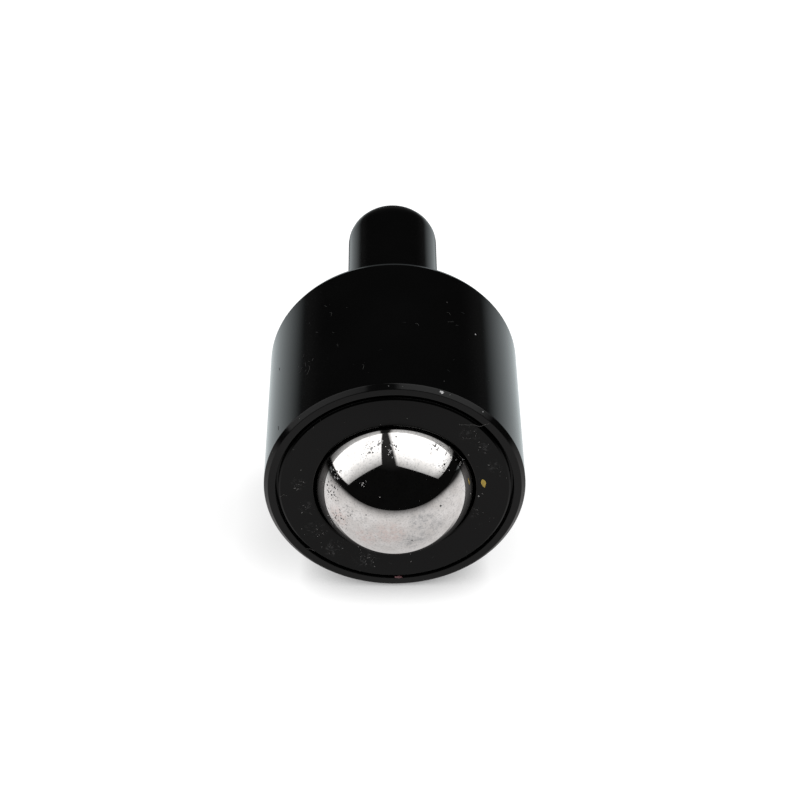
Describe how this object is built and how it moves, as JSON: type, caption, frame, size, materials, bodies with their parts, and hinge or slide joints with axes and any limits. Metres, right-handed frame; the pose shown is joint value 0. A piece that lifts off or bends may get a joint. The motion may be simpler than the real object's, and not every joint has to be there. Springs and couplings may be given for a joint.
{
  "type": "ball castor",
  "caption": "Ball castor with a plain round stem, a black turned body and a polished steel ball held by a cover ring, which rolls in every direction.",
  "frame": {"origin": "middle of the shoulder, the flat face that the stem rises from", "axes": "+Z along the stem towards its end, the ball at -Z; X and Y are across the round body"},
  "size_m": [0.0313, 0.0314, 0.0615],
  "materials": {
    "blackened_steel": "smooth black coating on turned steel",
    "satin_black_ring": "satin black coating with dust and scuffs",
    "polished_steel": "polished ball with fine pits",
    "hardened_steel": "ground, hardened",
    "bearing_steel": "polished bearing balls"
  },
  "bodies": {
    "housing": {"housing": "blackened_steel", "race": "hardened_steel", "cover_ring": "satin_black_ring"},
    "bearing_balls": {"bearing_ball_01": "bearing_steel", "bearing_ball_02": "bearing_steel", "bearing_ball_03": "bearing_steel", "bearing_ball_04": "bearing_steel", "bearing_ball_05": "bearing_steel", "bearing_ball_06": "bearing_steel", "bearing_ball_07": "bearing_steel", "bearing_ball_08": "bearing_steel", "bearing_ball_09": "bearing_steel", "bearing_ball_10": "bearing_steel", "bearing_ball_11": "bearing_steel", "bearing_ball_12": "bearing_steel", "bearing_ball_13": "bearing_steel", "bearing_ball_14": "bearing_steel", "bearing_ball_15": "bearing_steel", "bearing_ball_16": "bearing_steel", "bearing_ball_17": "bearing_steel", "bearing_ball_18": "bearing_steel", "bearing_ball_19": "bearing_steel", "bearing_ball_20": "bearing_steel", "bearing_ball_21": "bearing_steel", "bearing_ball_22": "bearing_steel", "bearing_ball_23": "bearing_steel", "bearing_ball_24": "bearing_steel", "bearing_ball_25": "bearing_steel", "bearing_ball_26": "bearing_steel", "bearing_ball_27": "bearing_steel", "bearing_ball_28": "bearing_steel", "bearing_ball_29": "bearing_steel", "bearing_ball_30": "bearing_steel", "bearing_ball_31": "bearing_steel", "bearing_ball_32": "bearing_steel", "bearing_ball_33": "bearing_steel", "bearing_ball_34": "bearing_steel", "bearing_ball_35": "bearing_steel", "bearing_ball_36": "bearing_steel", "bearing_ball_37": "bearing_steel", "bearing_ball_38": "bearing_steel", "bearing_ball_39": "bearing_steel", "bearing_ball_40": "bearing_steel", "bearing_ball_41": "bearing_steel", "bearing_ball_42": "bearing_steel", "bearing_ball_43": "bearing_steel", "bearing_ball_44": "bearing_steel", "bearing_ball_45": "bearing_steel", "bearing_ball_46": "bearing_steel", "bearing_ball_47": "bearing_steel", "bearing_ball_48": "bearing_steel", "bearing_ball_49": "bearing_steel", "bearing_ball_50": "bearing_steel"},
    "load_ball": {"load_ball": "polished_steel"}
  },
  "joints": [
    {"name": "bearing_orbit", "type": "hinge", "parent": "housing", "child": "bearing_balls", "pos_m": [0, 0, -0.022], "axis": [0, 0, 1], "continuous": true},
    {"name": "ball_roll", "type": "hinge", "parent": "bearing_balls", "child": "load_ball", "pos_m": [0, 0, -0.022], "axis": [1, 0, 0], "continuous": true}
  ]
}
